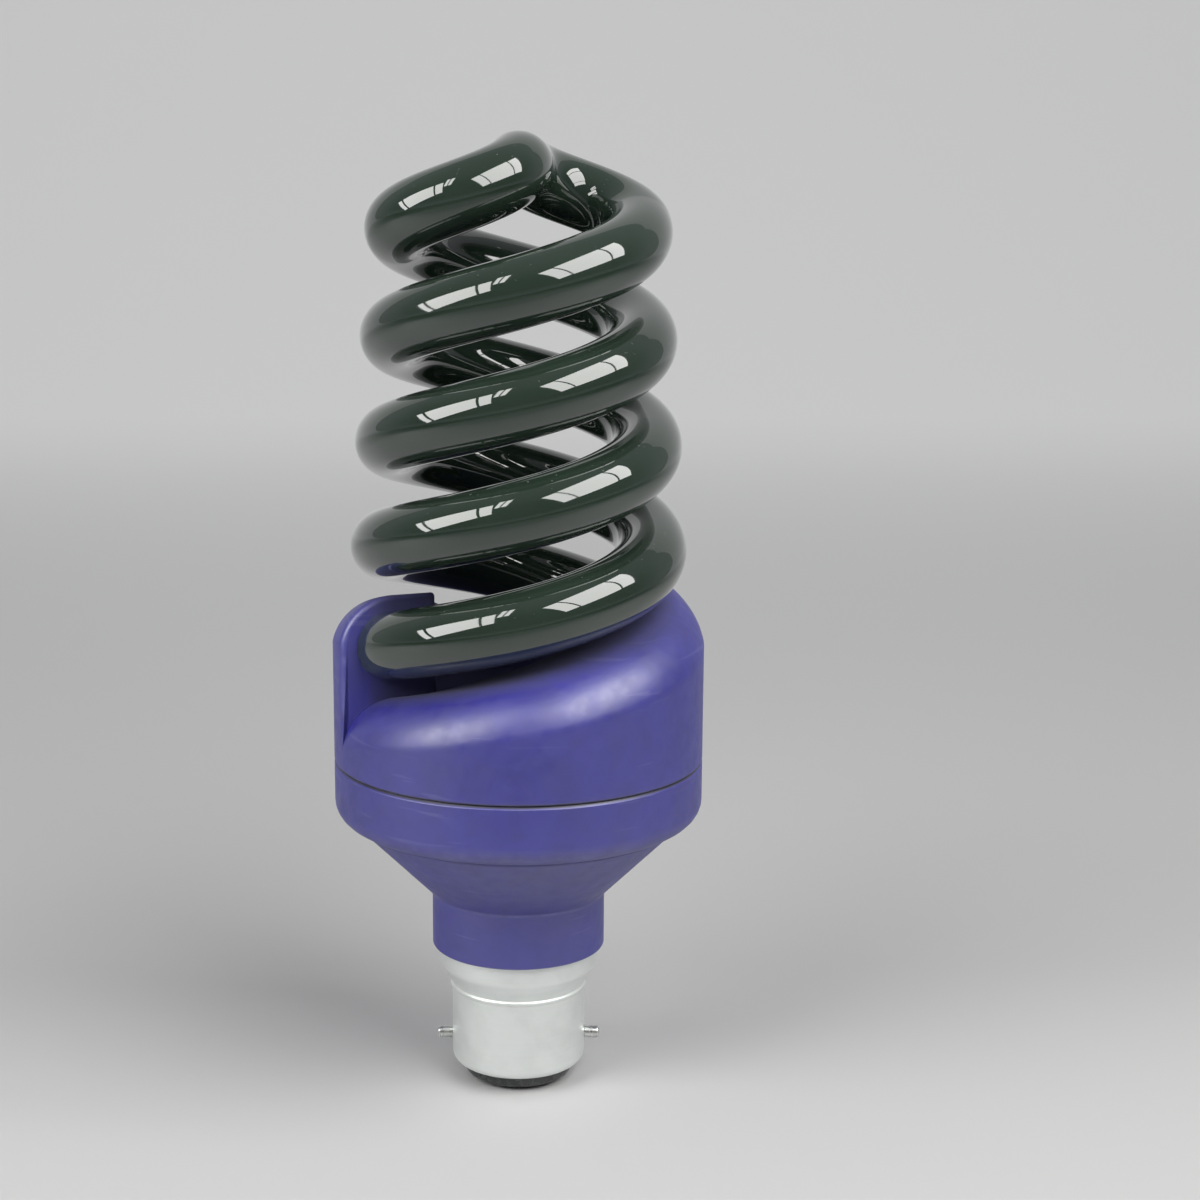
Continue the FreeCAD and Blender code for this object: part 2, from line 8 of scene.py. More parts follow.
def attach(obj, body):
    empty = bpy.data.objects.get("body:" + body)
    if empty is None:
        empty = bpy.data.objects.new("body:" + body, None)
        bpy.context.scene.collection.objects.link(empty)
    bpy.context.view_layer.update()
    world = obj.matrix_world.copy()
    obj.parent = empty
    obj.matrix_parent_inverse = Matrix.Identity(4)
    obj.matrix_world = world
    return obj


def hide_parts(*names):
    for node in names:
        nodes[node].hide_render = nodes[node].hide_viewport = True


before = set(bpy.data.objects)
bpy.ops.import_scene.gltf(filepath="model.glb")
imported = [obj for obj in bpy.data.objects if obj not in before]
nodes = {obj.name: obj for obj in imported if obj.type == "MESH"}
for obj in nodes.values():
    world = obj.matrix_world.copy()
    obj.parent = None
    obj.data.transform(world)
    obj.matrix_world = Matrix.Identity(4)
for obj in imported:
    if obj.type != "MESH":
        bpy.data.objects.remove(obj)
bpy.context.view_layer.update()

# Pieces are worked out in millimetres and degrees; finishes, lights and camera are in metres.
mm = 0.001
halfTurn = 180
print("frame loaded,", len(nodes), "solids")

surface = {"weld": 1e-6, "sliver": 1e-7, "sharpAngle": 38}


def addObject(name, data):
    made = bpy.data.objects.new(name, data)
    bpy.context.scene.collection.objects.link(made)
    return made


# A grid of points (rows, columns, 3) in millimetres: every four neighbours make a quad.
# A direction that wraps joins its last line to its first; doubled points are welded.
# Each mark is one value per point, kept as an attribute that a finish can read.
def gridSurface(name, points, wrapRows, wrapColumns, marks=None):
    rows, columns = points.shape[:2]
    index = np.arange(rows * columns).reshape(rows, columns)
    if wrapRows:
        index = np.vstack([index, index[:1]])
    if wrapColumns:
        index = np.hstack([index, index[:, :1]])
    quads = np.stack([index[:-1, :-1], index[1:, :-1], index[1:, 1:], index[:-1, 1:]], axis=-1)
    mesh = bpy.data.meshes.new(name)
    mesh.from_pydata((points.reshape(-1, 3) * mm).tolist(), [], quads.reshape(-1, 4).tolist())
    for mark, values in (marks or {}).items():
        layer = mesh.attributes.new(mark, "FLOAT", "POINT")
        layer.data.foreach_set("value", values.astype(np.float32).ravel())
    shell = bmesh.new()
    shell.from_mesh(mesh)
    bmesh.ops.remove_doubles(shell, verts=shell.verts, dist=surface["weld"])
    bmesh.ops.dissolve_degenerate(shell, edges=shell.edges, dist=surface["sliver"])
    bmesh.ops.recalc_face_normals(shell, faces=shell.faces)
    shell.to_mesh(mesh)
    shell.free()
    mesh.polygons.foreach_set("use_smooth", np.ones(len(mesh.polygons), dtype=bool))
    mesh.set_sharp_from_angle(angle=math.radians(surface["sharpAngle"]))
    return addObject(name, mesh)


def anglesRound(count):
    return np.linspace(0, 2 * math.pi, count, endpoint=False)


# Corners (radius, height, rounding) become one line: every rounded corner is
# an arc tangent to its two sides. Wear is highest in the middle of an arc.
def roundedLine(corners, steps=8):
    spots = np.array([corner[:2] for corner in corners], dtype=float)
    line, wear = [], []
    for k, (_, _, rounding) in enumerate(corners):
        here = spots[k]
        if rounding == 0:
            line.append(here[None])
            wear.append(np.zeros(1))
            continue
        back = spots[k - 1] - here
        ahead = spots[(k + 1) % len(spots)] - here
        back /= np.linalg.norm(back)
        ahead /= np.linalg.norm(ahead)
        half = math.acos(np.clip(back @ ahead, -1, 1)) / 2
        middle = here + (back + ahead) / np.linalg.norm(back + ahead) * rounding / math.sin(half)
        start = here + back * rounding / math.tan(half) - middle
        end = here + ahead * rounding / math.tan(half) - middle
        turn = math.pi - 2 * half
        share = np.linspace(0, 1, steps)[:, None]
        arc = (np.sin((1 - share) * turn) * start + np.sin(share * turn) * end) / math.sin(turn)
        line.append(middle + arc)
        wear.append(np.sin(math.pi * share[:, 0]))
    return np.vstack(line), np.concatenate(wear)


# A rounded line of (radius, reach) turned once about its own axis: across and along are
# the radius times the cosine and sine of the angle, and reach is measured on the axis.
def turnedLine(corners, segments):
    line, wear = roundedLine(corners)
    angle = anglesRound(segments)
    across = line[:, :1] * np.cos(angle)
    along = line[:, :1] * np.sin(angle)
    reach = np.repeat(line[:, 1:], segments, axis=1)
    return across, along, reach, {"wear": np.repeat(wear[:, None], segments, axis=1)}


# A piece turned about the lamp's own axis.
def latheSurface(name, corners, segments=240):
    across, along, height, marks = turnedLine(corners, segments)
    return gridSurface(name, np.stack([across, along, height], axis=-1), True, True, marks)


# Small helpers for the finishes. A value that is a socket is linked, any other is set.
def feed(tree, socket, value):
    if isinstance(value, bpy.types.NodeSocket):
        tree.links.new(value, socket)
    else:
        socket.default_value = value


def setInputs(tree, node, **inputs):
    for key, value in inputs.items():
        feed(tree, node.inputs[key.replace("_", " ")], value)


def addNode(tree, kind, settings=None, **inputs):
    made = tree.nodes.new(kind)
    for key, value in (settings or {}).items():
        setattr(made, key, value)
    setInputs(tree, made, **inputs)
    return made


def spread(tree, value, low, high, toLow, toHigh):
    return addNode(tree, "ShaderNodeMapRange", Value=value, From_Min=low, From_Max=high,
                   To_Min=toLow, To_Max=toHigh).outputs["Result"]


def combine(tree, operation, *values):
    made = addNode(tree, "ShaderNodeMath", {"operation": operation})
    for socket, value in zip(made.inputs, values):
        feed(tree, socket, value)
    return made.outputs[0]


def times(tree, first, second):
    return combine(tree, "MULTIPLY", first, second)


# The Mix node's sockets for colours, by place, because their names repeat.
mixSockets = {"share": 0, "first": 6, "second": 7, "result": 2}


def blendColour(tree, share, first, second):
    made = addNode(tree, "ShaderNodeMix", {"data_type": "RGBA"})
    feed(tree, made.inputs[mixSockets["share"]], share)
    for place, colour in (("first", first), ("second", second)):
        isSocket = isinstance(colour, bpy.types.NodeSocket)
        feed(tree, made.inputs[mixSockets[place]], colour if isSocket else (*colour, 1))
    return made.outputs[mixSockets["result"]]


def grain(tree, coordinates, scale, detail, distortion=0, stretch=None):
    if stretch:
        coordinates = addNode(tree, "ShaderNodeMapping", Vector=coordinates, Scale=stretch).outputs["Vector"]
    return addNode(tree, "ShaderNodeTexNoise", Vector=coordinates, Scale=scale, Detail=detail,
                   Distortion=distortion).outputs["Fac"]


def relief(tree, height, strength, depth):
    return addNode(tree, "ShaderNodeBump", Strength=strength, Distance=depth, Height=height).outputs["Normal"]


def axisOf(tree, vector, axis):
    return addNode(tree, "ShaderNodeSeparateXYZ", Vector=vector).outputs[axis]


def markOf(tree, mark):
    return addNode(tree, "ShaderNodeAttribute", {"attribute_name": mark}).outputs["Fac"]


def startFinish(name):
    finish = bpy.data.materials.new(name)
    finish.use_nodes = True
    tree = finish.node_tree
    coordinates = addNode(tree, "ShaderNodeTexCoord").outputs["Object"]
    return finish, tree, tree.nodes["Principled BSDF"], coordinates


# Noise lies about 0.5. These two stretches of it are spread over the whole range of a look.
midNoise = (0.35, 0.65)
wideNoise = (0.3, 0.7)

# Black filter glass: green-black body, faint smears, slow waves, a few dust specks on what faces up.
glassLook = {"dark": (0.014, 0.025, 0.017), "light": (0.018, 0.031, 0.022), "dust": (0.16, 0.17, 0.16),
             "cloudScale": 55, "smearScale": 70, "smearNoise": (0.4, 0.75), "roughness": (0.03, 0.10),
             "speckScale": 1500, "speckNoise": (0.735, 0.765), "dustSlope": (0.2, 0.9), "mostDust": 0.5,
             "waveScale": 90, "waveStrength": 0.04, "waveDepth": 0.00025,
             "ior": 1.52, "coat": 1.0, "coatRoughness": 0.02}


def makeGlass():
    finish, tree, shader, coordinates = startFinish("blackGlass")
    cloud = grain(tree, coordinates, glassLook["cloudScale"], detail=4)
    smear = grain(tree, coordinates, glassLook["smearScale"], detail=6, distortion=0.8)
    speck = grain(tree, coordinates, glassLook["speckScale"], detail=1)
    wave = grain(tree, coordinates, glassLook["waveScale"], detail=2)
    upward = axisOf(tree, addNode(tree, "ShaderNodeNewGeometry").outputs["Normal"], "Z")
    settled = spread(tree, upward, *glassLook["dustSlope"], 0, glassLook["mostDust"])
    dust = times(tree, spread(tree, speck, *glassLook["speckNoise"], 0, 1), settled)
    body = blendColour(tree, spread(tree, cloud, *midNoise, 0, 1), glassLook["dark"], glassLook["light"])
    setInputs(tree, shader, Base_Color=blendColour(tree, dust, body, glassLook["dust"]),
              Roughness=spread(tree, smear, *glassLook["smearNoise"], *glassLook["roughness"]),
              Normal=relief(tree, wave, glassLook["waveStrength"], glassLook["waveDepth"]),
              IOR=glassLook["ior"], Coat_Weight=glassLook["coat"],
              Coat_Roughness=glassLook["coatRoughness"])
    return finish


# Violet plastic: fine moulded grain, slow colour drift, mottling, rubbed edges and a few hair
# scratches. The joint is drawn as a darker line, the groove under the tube carries painted shade from the
# tube above it, and the groove is matt.
plasticLook = {"deep": (0.011, 0.009, 0.200), "pale": (0.018, 0.015, 0.240), "mottled": (0.006, 0.004, 0.130),
               "rubbed": (0.13, 0.13, 0.37), "darkJointAndShade": (0.003, 0.003, 0.02), "driftScale": 45,
               "mottleScale": 210, "mottleNoise": (0.42, 0.68), "mostMottle": 0.4,
               "scratchScale": 260, "scratchStretch": (0.25, 0.25, 5.0), "scratchNoise": (0.705, 0.735),
               "mostScratch": 0.22, "patchScale": 420, "rubNoise": (0.42, 0.72), "mostRub": 0.4,
               "seamHeight": 0.0551, "seamHalfWidth": 0.00032, "seamDarkening": 0.9,
               "roughness": (0.41, 0.53), "grooveRoughness": 0.9, "grooveShade": 0.6,
               "grainScale": 1400, "grainStrength": 0.2, "grainDepth": 0.00006, "ior": 2.05}


def makePlastic():
    finish, tree, shader, coordinates = startFinish("violetPlastic")
    drift = grain(tree, coordinates, plasticLook["driftScale"], detail=4)
    fine = grain(tree, coordinates, plasticLook["grainScale"], detail=2)
    patchy = grain(tree, coordinates, plasticLook["patchScale"], detail=5)
    mottle = grain(tree, coordinates, plasticLook["mottleScale"], detail=6, distortion=0.6)
    scratch = grain(tree, coordinates, plasticLook["scratchScale"], detail=1, distortion=0.4,
                    stretch=plasticLook["scratchStretch"])
    groove = markOf(tree, "groove")
    onSeam = combine(tree, "COMPARE", axisOf(tree, coordinates, "Z"), plasticLook["seamHeight"],
                     plasticLook["seamHalfWidth"])
    body = blendColour(tree, spread(tree, drift, *wideNoise, 0, 1), plasticLook["deep"], plasticLook["pale"])
    rub = spread(tree, patchy, *plasticLook["rubNoise"], 0, plasticLook["mostRub"])
    layers = (
        ("mottled", spread(tree, mottle, *plasticLook["mottleNoise"], 0, plasticLook["mostMottle"])),
        ("rubbed", spread(tree, scratch, *plasticLook["scratchNoise"], 0, plasticLook["mostScratch"])),
        ("rubbed", times(tree, markOf(tree, "wear"), rub)),
        # A thin darker line is drawn along the joint.
        ("darkJointAndShade", times(tree, onSeam, plasticLook["seamDarkening"])),
        # Painted shade: the groove under the tube is darkened as if shaded by the tube.
        ("darkJointAndShade", times(tree, groove, plasticLook["grooveShade"])),
    )
    for colour, share in layers:
        body = blendColour(tree, share, body, plasticLook[colour])
    gloss = spread(tree, patchy, *wideNoise, *plasticLook["roughness"])
    setInputs(tree, shader, Base_Color=body,
              Roughness=spread(tree, groove, 0, 1, gloss, plasticLook["grooveRoughness"]),
              Normal=relief(tree, fine, plasticLook["grainStrength"], plasticLook["grainDepth"]),
              IOR=plasticLook["ior"])
    return finish


# Drawn metal: fine rings left by the drawing die, small stains, brighter rubbed edges.
drawnMetal = {"stainScale": 230, "stainNoise": (0.45, 0.75), "mostRub": 0.6, "ringStrength": 0.2,
              "ringDepth": 0.00003}


def makeDrawnMetal(name, look):
    finish, tree, shader, coordinates = startFinish(name)
    rings = grain(tree, coordinates, look["ringScale"], detail=2, stretch=look["ringStretch"])
    stain = grain(tree, coordinates, drawnMetal["stainScale"], detail=5, distortion=0.3)
    stained = spread(tree, stain, *drawnMetal["stainNoise"], 0, 1)
    body = blendColour(tree, stained, look["clean"], look["stained"])
    rub = times(tree, markOf(tree, "wear"), drawnMetal["mostRub"])
    setInputs(tree, shader, Base_Color=blendColour(tree, rub, body, look["rubbed"]),
              Roughness=spread(tree, rings, *wideNoise, *look["roughness"]),
              Normal=relief(tree, rings, drawnMetal["ringStrength"], drawnMetal["ringDepth"]),
              Metallic=look["metallic"])
    return finish


capLook = {"clean": (0.80, 0.83, 0.81), "stained": (0.74, 0.77, 0.75), "rubbed": (0.86, 0.87, 0.86),
           "ringScale": 30, "ringStretch": (1, 1, 60), "roughness": (0.40, 0.54), "metallic": 0.8}
pinLook = {"clean": (0.62, 0.63, 0.61), "stained": (0.45, 0.46, 0.44), "rubbed": (0.80, 0.81, 0.80),
           "ringScale": 90, "ringStretch": (25, 1, 1), "roughness": (0.24, 0.38), "metallic": 1.0}
wireLook = {"clean": (0.62, 0.60, 0.57), "stained": (0.48, 0.46, 0.43), "rubbed": (0.75, 0.74, 0.72),
            "ringScale": 60, "ringStretch": (1, 1, 20), "roughness": (0.28, 0.42), "metallic": 1.0}
copperLook = {"clean": (0.55, 0.24, 0.09), "stained": (0.40, 0.15, 0.05), "rubbed": (0.70, 0.36, 0.16),
              "ringScale": 40, "ringStretch": (1, 1, 60), "roughness": (0.25, 0.40), "metallic": 1.0}

# Cast, moulded or dipped bodies: two mixed colours, cloudy gloss and a fine or lumpy relief.
lumpDepth = 0.00008


def makeCast(name, look):
    finish, tree, shader, coordinates = startFinish(name)
    cloud = grain(tree, coordinates, look["cloudScale"], detail=4)
    lumps = grain(tree, coordinates, look["lumpScale"], detail=3)
    share = spread(tree, cloud, *midNoise, 0, 1)
    setInputs(tree, shader, Base_Color=blendColour(tree, share, look["deep"], look["pale"]),
              Roughness=spread(tree, lumps, *wideNoise, *look["roughness"]),
              Normal=relief(tree, lumps, look["relief"], lumpDepth), Metallic=look["metallic"])
    return finish


castLooks = {
    "black_insulator": {"deep": (0.022, 0.025, 0.024), "pale": (0.042, 0.046, 0.044), "cloudScale": 320,
                        "lumpScale": 700, "roughness": (0.16, 0.34), "relief": 0.35, "metallic": 0},
    "contact_metal": {"deep": (0.44, 0.43, 0.41), "pale": (0.62, 0.61, 0.58), "cloudScale": 900,
                      "lumpScale": 1300, "roughness": (0.28, 0.5), "relief": 0.6, "metallic": 1},
    "wire_sleeve": {"deep": (0.66, 0.65, 0.61), "pale": (0.78, 0.77, 0.73), "cloudScale": 300,
                    "lumpScale": 1500, "roughness": (0.45, 0.6), "relief": 0.2, "metallic": 0},
    "board_laminate": {"deep": (0.30, 0.19, 0.08), "pale": (0.40, 0.27, 0.12), "cloudScale": 500,
                       "lumpScale": 2400, "roughness": (0.5, 0.7), "relief": 0.3, "metallic": 0},
    "capacitor_sleeve": {"deep": (0.015, 0.022, 0.05), "pale": (0.024, 0.034, 0.07), "cloudScale": 200,
                         "lumpScale": 900, "roughness": (0.2, 0.32), "relief": 0.15, "metallic": 0},
    "ferrite": {"deep": (0.040, 0.040, 0.042), "pale": (0.062, 0.062, 0.065), "cloudScale": 800,
                "lumpScale": 2600, "roughness": (0.55, 0.75), "relief": 0.5, "metallic": 0},
    "film_coating": {"deep": (0.34, 0.06, 0.02), "pale": (0.44, 0.09, 0.03), "cloudScale": 260,
                     "lumpScale": 420, "roughness": (0.15, 0.3), "relief": 0.4, "metallic": 0},
    "moulding_black": {"deep": (0.014, 0.014, 0.014), "pale": (0.026, 0.026, 0.026), "cloudScale": 700,
                       "lumpScale": 3000, "roughness": (0.5, 0.65), "relief": 0.4, "metallic": 0},
}

finishes = {slot: makeCast(slot, look) for slot, look in castLooks.items()}
finishes["black_glass"] = makeGlass()
finishes["violet_plastic"] = makePlastic()
finishes["cap_metal"] = makeDrawnMetal("capMetal", capLook)
finishes["pin_metal"] = makeDrawnMetal("pinMetal", pinLook)
finishes["bare_wire"] = makeDrawnMetal("bareWire", wireLook)
finishes["copper"] = makeDrawnMetal("copperWinding", copperLook)

# Every solid that stays as it is takes the finish of its own slot.
for solid in nodes.values():
    for place in solid.material_slots:
        place.material = finishes[place.material.name.split(".")[0]]
print("finishes made:", len(finishes))


def standFor(piece, node, slot):
    piece.data.materials.append(finishes[slot])
    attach(piece, "root")
    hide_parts(node)


# Spiral tube: a circle carried along two arms that meet in a bridge over the axis.
tube = {"radius": 5.5, "topRadius": 18.6, "coilRadius": 21.9, "wideningAngle": 630, "halfPitch": 16.7,
        "coilStart": 139.9, "bridgeRise": 9.7, "crownShare": 0.1, "endAngle": 733, "along": 820, "around": 56}


# Arm over its turn in degrees. Below 0 it is the bridge, a half circle from the axis out to the
# coil that falls along a hyperbola; from 0 on it is a helix that widens on its way down.
def armLine(turn):
    share = 1 + turn / halfTurn
    crown = tube["crownShare"]
    fall = (np.hypot(share, crown) - crown) / (math.hypot(1, crown) - crown) * tube["bridgeRise"]
    half = tube["topRadius"] / 2
    bridge = np.stack([half * (1 - np.cos(math.pi * share)), half * np.sin(math.pi * share),
                       tube["coilStart"] + tube["bridgeRise"] - fall], axis=1)
    widening = np.minimum(1, turn / tube["wideningAngle"]) * (tube["coilRadius"] - tube["topRadius"])
    radius = tube["topRadius"] + widening
    angle = np.radians(-turn)
    coil = np.stack([radius * np.cos(angle), radius * np.sin(angle),
                     tube["coilStart"] - tube["halfPitch"] * turn / halfTurn], axis=1)
    return np.where(turn[:, None] < 0, bridge, coil)


firstArm = armLine(np.linspace(-halfTurn, tube["endAngle"], tube["along"] // 2))
secondArm = firstArm[:0:-1] * np.array([-1, -1, 1])
centreLine = np.vstack([secondArm, firstArm])
heading = np.gradient(centreLine, axis=0)
heading /= np.linalg.norm(heading, axis=1)[:, None]
side = np.cross(heading, [0, 0, 1])
side /= np.linalg.norm(side, axis=1)[:, None]
rise = np.cross(side, heading)
around = anglesRound(tube["around"])[None, :, None]
# The first and the last ring stand twice, once drawn in to a point that closes the end.
rings = np.concatenate([[0], np.arange(len(centreLine)), [len(centreLine) - 1]])
ringSize = np.full((len(rings), 1, 1), tube["radius"])
ringSize[[0, -1]] = 0
circle = np.cos(around) * side[rings][:, None] + np.sin(around) * rise[rings][:, None]
tubePoints = centreLine[rings][:, None] + ringSize * circle
standFor(gridSurface("tubeGlass", tubePoints, False, True), "discharge_tube", "black_glass")
print("tube swept,", len(centreLine), "rings")

# Upper cover: at each angle one section, wall, rounded shoulder, ramp and pit. The ramp climbs
# half a turn and ends at the mouth of a hood, whose edge is rolled inward. Two such halves meet.
upper = {"radius": 30, "wall": 2, "foot": 55.1, "footRound": 0.45, "shoulder": 21.2, "shoulderRound": 9,
         "mouthAngle": 22, "mouthRamp": 66.64, "mouthRound": 1.0, "mouthWear": 0.8, "rollFadeBelow": 7,
         "rollFadeLength": 4, "rise": tube["halfPitch"], "hoodRadius": tube["coilRadius"],
         "pitRadius": 14.2, "pitFloor": 66.24, "pitEdge": 0.7, "pitWear": 0.8, "grooveFrom": 0.6,
         "grooveCurve": 0.7, "climbSteps": 110, "lipSteps": 6, "rollSteps": 9, "footSteps": 5,
         "wallSteps": 16, "shoulderSteps": 18, "rampSteps": 9, "edgeSteps": 7, "pitSteps": 7}


# One skin of the cover. Its rows run from the foot up the wall, over the shoulder and ramp, down the
# pit and in to the axis, and each row is an array over the angles. The skin lies sink inside the
# outer one, top is the ramp's height, and shrink draws the skin in where the mouth's edge rolls.
def upperSkin(radius, sink, top, shrink):
    # The groove mark lies on the ramp and pit under the tube and fades in over the shoulder's top; there the
    # finish paints shade and turns matt.
    rows, wear, groove = [], [], []

    def addRow(reach, height, worn, sunk):
        rows.append(np.stack(np.broadcast_arrays(reach, height, top)[:2], axis=-1))
        wear.append(worn)
        groove.append(sunk)

    foot = upper["foot"]
    footRound = upper["footRound"] if sink == 0 else 0
    for bend in np.linspace(0, math.pi / 2, upper["footSteps"]):
        addRow(radius - footRound * (1 - math.sin(bend)), foot + footRound * (1 - math.cos(bend)),
               math.sin(2 * bend), 0)

    roundRadius = upper["shoulderRound"] - sink - shrink
    edge = np.arccos((radius - shrink - upper["shoulder"]) / roundRadius)
    middle = top - upper["shoulderRound"]
    wallTop = middle + roundRadius * np.sin(edge)
    for share in np.linspace(0, 1, upper["wallSteps"])[1:-1]:
        height = foot + footRound + share * (wallTop - foot - footRound)
        fade = np.clip((height - upper["mouthRamp"] + upper["rollFadeBelow"]) / upper["rollFadeLength"], 0, 1)
        smoothFade = fade * fade * (3 - 2 * fade)
        addRow(radius - shrink * smoothFade, height, 0, 0)
    for share in np.linspace(0, 1, upper["shoulderSteps"]):
        bend = edge + share * (math.pi / 2 - edge)
        depth = np.clip((share - upper["grooveFrom"]) / (1 - upper["grooveFrom"]), 0, 1)
        addRow(upper["shoulder"] + roundRadius * np.cos(bend), middle + roundRadius * np.sin(bend),
               0, depth ** upper["grooveCurve"])

    pit = upper["pitRadius"] + sink + shrink
    floor = upper["pitFloor"] - sink
    crest = top - sink - shrink
    lip = np.minimum(upper["pitEdge"], (crest - floor) / 2)
    for share in np.linspace(0, 1, upper["rampSteps"])[1:-1]:
        addRow(upper["shoulder"] + share * (pit + lip - upper["shoulder"]), crest, 0, 1)
    for bend in np.linspace(0, math.pi / 2, upper["edgeSteps"]):
        addRow(pit + lip * (1 - math.sin(bend)), crest - lip * (1 - math.cos(bend)),
               upper["pitWear"] * math.sin(2 * bend), 1)
    for share in np.linspace(0, 1, upper["pitSteps"])[1:]:
        addRow(pit, crest - lip - share * (crest - lip - floor), 0, 1)
    for share in np.linspace(0, 1, upper["pitSteps"])[1:]:
        addRow(pit * (1 - share), floor, 0, 1)
    wear, groove = np.repeat(np.array([wear, groove])[:, :, None], len(top), axis=2)
    return np.stack(rows), wear, groove


# The outer skin climbs to the mouth and rolls in there. The inner one runs ahead by the wall's
# thickness, so that the hood's end wall is as thick as the rest.
def upperCover():
    lead = math.degrees(upper["wall"] / upper["hoodRadius"])
    rollReach = math.degrees(upper["mouthRound"] / upper["hoodRadius"])
    roll = np.linspace(0, math.pi / 2, upper["rollSteps"])[1:]
    climb = np.linspace(0, halfTurn - lead, upper["climbSteps"])
    lipped = np.concatenate([np.linspace(halfTurn - lead, halfTurn - rollReach, upper["lipSteps"]),
                             halfTurn - rollReach * (1 - np.sin(roll))])
    turn = np.concatenate([climb, lipped])
    innerTurn = np.concatenate([climb + lead, lipped + lead - halfTurn])
    shrink = np.concatenate([np.zeros(len(turn) - len(roll)), upper["mouthRound"] * (1 - np.cos(roll))])

    outer, wear, groove = upperSkin(upper["radius"], 0, upper["mouthRamp"] + upper["rise"] * turn / halfTurn,
                                    shrink)
    innerTop = upper["mouthRamp"] + upper["rise"] * innerTurn / halfTurn
    inner, _, _ = upperSkin(upper["radius"] - upper["wall"], upper["wall"], innerTop, np.zeros(len(turn)))
    section = np.concatenate([outer, inner[::-1]])
    wear = np.concatenate([wear, np.zeros(inner.shape[:2])])
    wear = np.maximum(wear, upper["mouthWear"] * np.sin(math.pi * shrink / upper["mouthRound"]))
    groove = np.concatenate([groove, np.ones(inner.shape[:2])])

    angle = np.radians(upper["mouthAngle"] + np.concatenate([turn, turn + halfTurn]))
    radius, height = np.moveaxis(np.tile(section, (1, 2, 1)), -1, 0)
    points = np.stack([radius * np.cos(angle), radius * np.sin(angle), height], axis=-1)
    return points, {"wear": np.tile(wear, 2), "groove": np.tile(groove, 2)}


coverPoints, coverMarks = upperCover()
coverPiece = gridSurface("upperCover", coverPoints, True, True, coverMarks)
standFor(coverPiece, "housing_top", "violet_plastic")
print("upper cover built,", coverPoints.shape[0], "by", coverPoints.shape[1], "points")

# Lower cover, cap and plug: corners (radius, height, rounding) once round each section.
lowerCover = [
    (8.85, 12.5, 0.2), (10.45, 12.5, 0.3), (10.45, 23.0, 0),  # spigot in the cap
    (14.2, 23.0, 0.35), (14.2, 32.2, 1.2),  # neck
    (26.4, 44.4, 0.35), (26.4, 45.0, 0.1),  # cone and step
    (30.0, 45.0, 3.4), (30.0, 54.6, 0.25), (29.5, 55.1, 0.12),  # bowl up to the joint
    (27.85, 55.1, 0), (27.85, 58.6, 0.3), (26.55, 58.6, 0.3),  # lip in the upper cover
    (26.55, 51.0, 0), (24.85, 51.0, 0.2),  # ledge for the board
    (24.85, 45.68, 0), (12.2, 33.03, 0), (12.2, 25.0, 0.5), (8.85, 25.0, 0.3),  # inside
]
standFor(latheSurface("lowerCover", lowerCover), "housing_base", "violet_plastic")

capShell = [
    (9.15, 2.5, 0.12), (11.0, 2.5, 1.6), (11.0, 15.5, 0.12),  # turned-in rim and barrel
    (11.25, 15.77, 0.12), (11.25, 16.13, 0.12), (11.0, 16.4, 0.2),  # bead
    (12.9, 19.7, 2.6), (13.1, 23.0, 0.12),  # flared skirt
    (12.7, 23.0, 0.1), (12.5, 19.7, 2.2), (10.6, 16.4, 0.3), (10.6, 2.9, 1.2), (9.15, 2.9, 0.1),  # inside
]
standFor(latheSurface("capShell", capShell), "cap_shell", "cap_metal")

plug = [
    (0, 0.3, 0), (8.7, 0.3, 1.2), (9.15, 2.5, 0),  # face that stands out of the rim
    (9.15, 2.9, 0), (10.6, 2.9, 1.2), (10.6, 5.0, 0), (0, 5.0, 0),  # body in the cap
]
standFor(latheSurface("insulatorPlug", plug), "cap_insulator", "black_insulator")
print("covers and cap turned")

# Bayonet pins: corners (radius, distance from the lamp's axis, rounding) turned about the pin's axis.
pin = {"height": 6.8, "segments": 72,
       "corners": [(0, 10.2, 0), (0.75, 10.2, 0.1), (0.75, 11.1, 0), (1.0, 11.1, 0.05), (1.0, 13.5, 0.35),
                   (0, 13.5, 0)]}
pinAcross, pinAlong, pinReach, pinMarks = turnedLine(pin["corners"], pin["segments"])
for sideName, sign in (("right", 1), ("left", -1)):
    pinPoints = np.stack([sign * pinReach, pinAcross, pin["height"] + pinAlong], axis=-1)
    pinPiece = gridSurface("bayonetPin_" + sideName, pinPoints, True, True, pinMarks)
    standFor(pinPiece, "bayonet_pin_" + sideName, "pin_metal")

